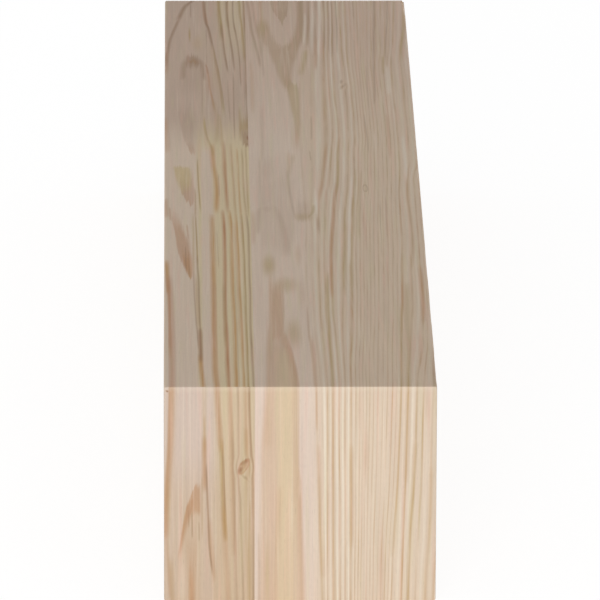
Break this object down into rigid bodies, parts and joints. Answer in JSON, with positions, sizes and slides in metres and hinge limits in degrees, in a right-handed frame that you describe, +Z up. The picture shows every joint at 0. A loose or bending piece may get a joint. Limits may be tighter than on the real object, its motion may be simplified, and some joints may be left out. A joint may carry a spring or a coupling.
{
  "type": "timber lumber plank",
  "caption": "Squared softwood timber glued up from staves of different width, planed, with eased arrises and square docked ends.",
  "frame": {"origin": "centre of the underside, the broad face that the timber lies on", "axes": "+X across the broad face from the narrow stave to the wide one, +Y along the grain to the far end, +Z up, square to the broad face"},
  "size_m": [0.12, 0.6, 0.1],
  "materials": {
    "narrow_stave_pine": "planed, unsealed, straw-coloured with strong tan ring lines",
    "wide_stave_pine": "planed, unsealed, pale cream with soft ring lines"
  },
  "bodies": {
    "root": {"narrow_stave": "narrow_stave_pine", "wide_stave": "wide_stave_pine"}
  },
  "joints": []
}
